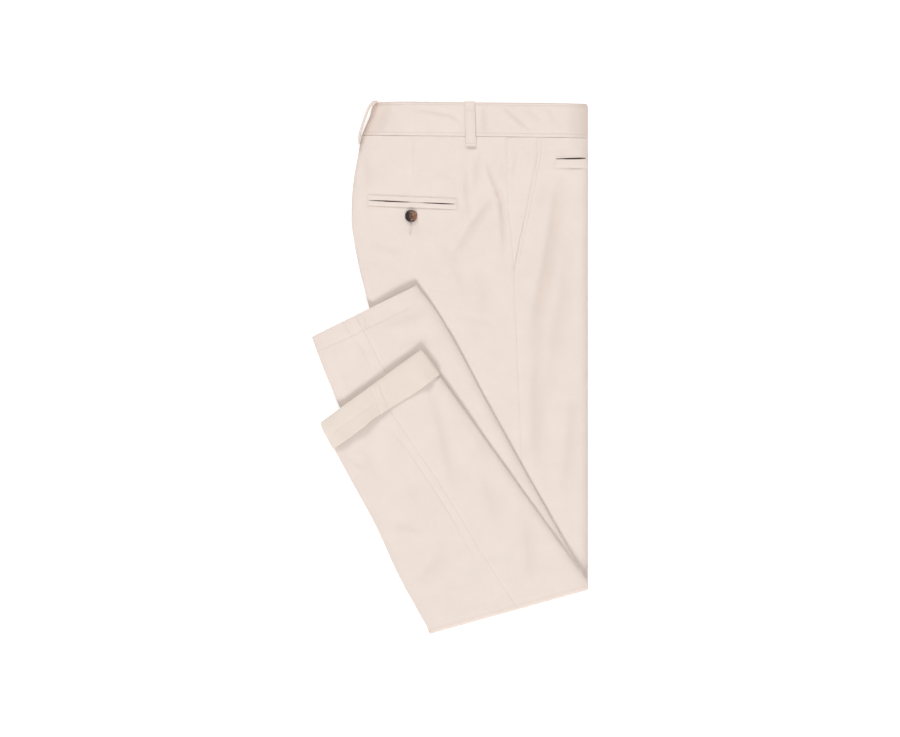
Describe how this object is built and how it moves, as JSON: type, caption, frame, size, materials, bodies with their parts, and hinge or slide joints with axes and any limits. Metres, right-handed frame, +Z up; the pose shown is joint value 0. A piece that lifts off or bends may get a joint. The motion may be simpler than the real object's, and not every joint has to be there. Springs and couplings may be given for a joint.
{
  "type": "folded chino trousers",
  "caption": "Pressed cotton chino trousers folded at the knee and laid flat on one side, with a slant pocket, a buttoned welt back pocket, belt loops and a turned-up hem.",
  "frame": {"origin": "centre of the outline on the surface that the trousers lie on", "axes": "+Z up from the surface, +Y towards the waist, +X towards the front creases"},
  "size_m": [0.3334, 0.6394, 0.0216],
  "materials": {
    "cotton_twill": "matt stone-coloured cotton twill",
    "cotton_twill_reverse": "matt reverse side of the same cotton twill",
    "horn_button": "polished mottled brown horn look"
  },
  "bodies": {
    "root": {"right_front": "cotton_twill", "right_back": "cotton_twill", "left_front": "cotton_twill", "left_back": "cotton_twill", "left_cuff": "cotton_twill_reverse", "folded_inner_layers": "cotton_twill_reverse", "right_waistband": "cotton_twill", "left_waistband": "cotton_twill", "right_pocket_facing": "cotton_twill", "left_pocket_facing": "cotton_twill", "right_side_belt_loop": "cotton_twill", "left_side_belt_loop": "cotton_twill", "back_belt_loop": "cotton_twill", "back_pocket_upper_jet": "cotton_twill", "back_pocket_lower_jet": "cotton_twill", "back_pocket_button": "horn_button", "coin_pocket_welt": "cotton_twill"}
  },
  "joints": []
}
